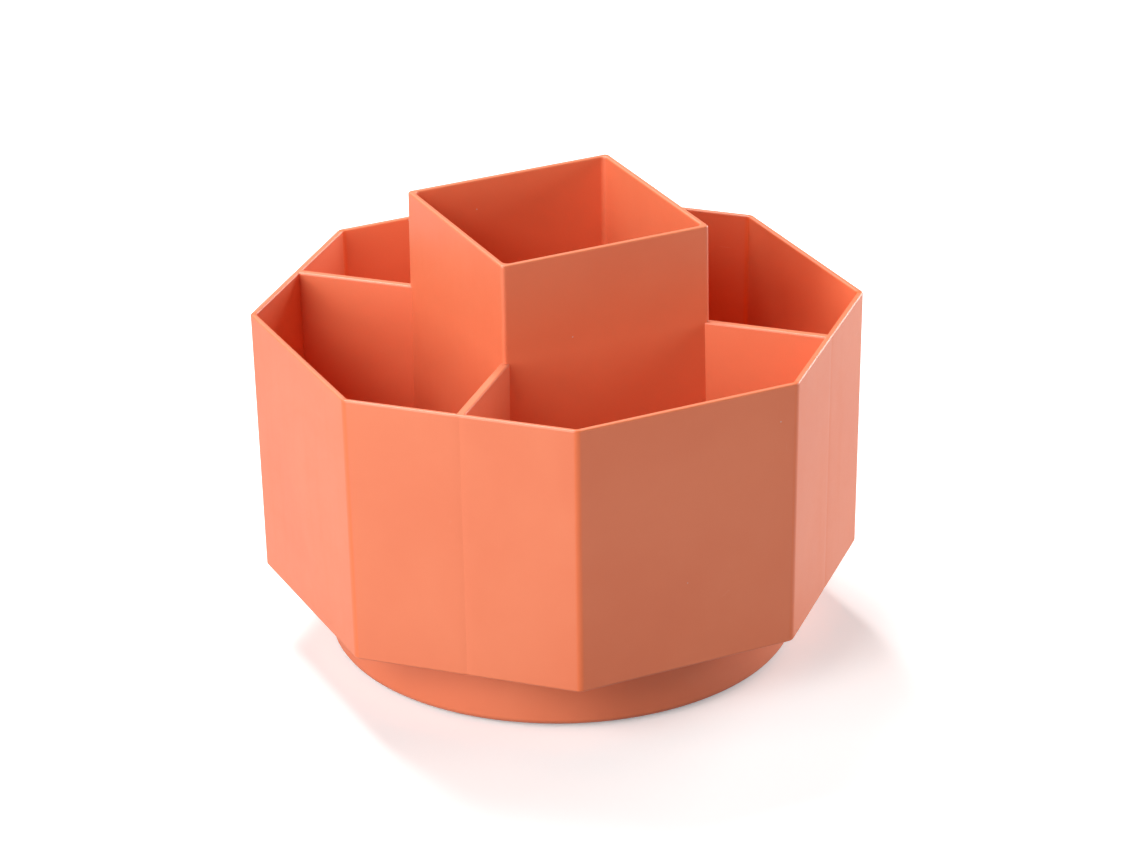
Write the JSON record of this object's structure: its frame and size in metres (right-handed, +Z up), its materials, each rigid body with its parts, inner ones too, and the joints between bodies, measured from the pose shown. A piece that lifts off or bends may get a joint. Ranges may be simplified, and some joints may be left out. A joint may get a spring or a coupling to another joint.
{
  "type": "rotating desk organizer",
  "caption": "Octagonal desk organizer with a tall square pen cup in the middle and side compartments between corner dividers, turning on a round ball-bearing base.",
  "frame": {"origin": "centre of the footprint, at the height of the surface that the feet stand on", "axes": "+Z up, along the axis that the bin turns on; the flats of the octagon and the walls of the cup face X and Y, and the dividers run along the diagonals"},
  "size_m": [0.151, 0.151, 0.1212],
  "materials": {
    "coral_plastic": "satin, very fine moulded grain",
    "cover_plastic": "matt, spark-textured underside",
    "acetal": "smooth, slightly waxy",
    "cage_plastic": "matt moulded nylon",
    "ball_steel": "polished, lightly greased",
    "zinc_steel": "bright zinc plate",
    "foot_rubber": "matt moulded rubber"
  },
  "bodies": {
    "base": {"base_shell": "coral_plastic", "lower_race": "acetal", "pivot_bush": "acetal", "base_cover": "cover_plastic", "cover_screws": "zinc_steel", "foot_back_right": "foot_rubber", "foot_back_left": "foot_rubber", "foot_front_left": "foot_rubber", "foot_front_right": "foot_rubber"},
    "bin": {"organizer_bin": "coral_plastic", "upper_race": "acetal", "pivot_washer": "zinc_steel", "pivot_screw": "zinc_steel"},
    "ball_cage": {"ball_cage": "cage_plastic", "bearing_balls": "ball_steel"}
  },
  "joints": [
    {"name": "bin_spin", "type": "hinge", "parent": "base", "child": "bin", "pos_m": [0, 0, 0.01665], "axis": [0, 0, 1], "continuous": true},
    {"name": "cage_spin", "type": "hinge", "parent": "base", "child": "ball_cage", "pos_m": [0, 0, 0.01665], "axis": [0, 0, 1], "continuous": true}
  ],
  "couplings": [
    {"joint": "cage_spin", "follows": "bin_spin", "ratio": 0.5}
  ]
}
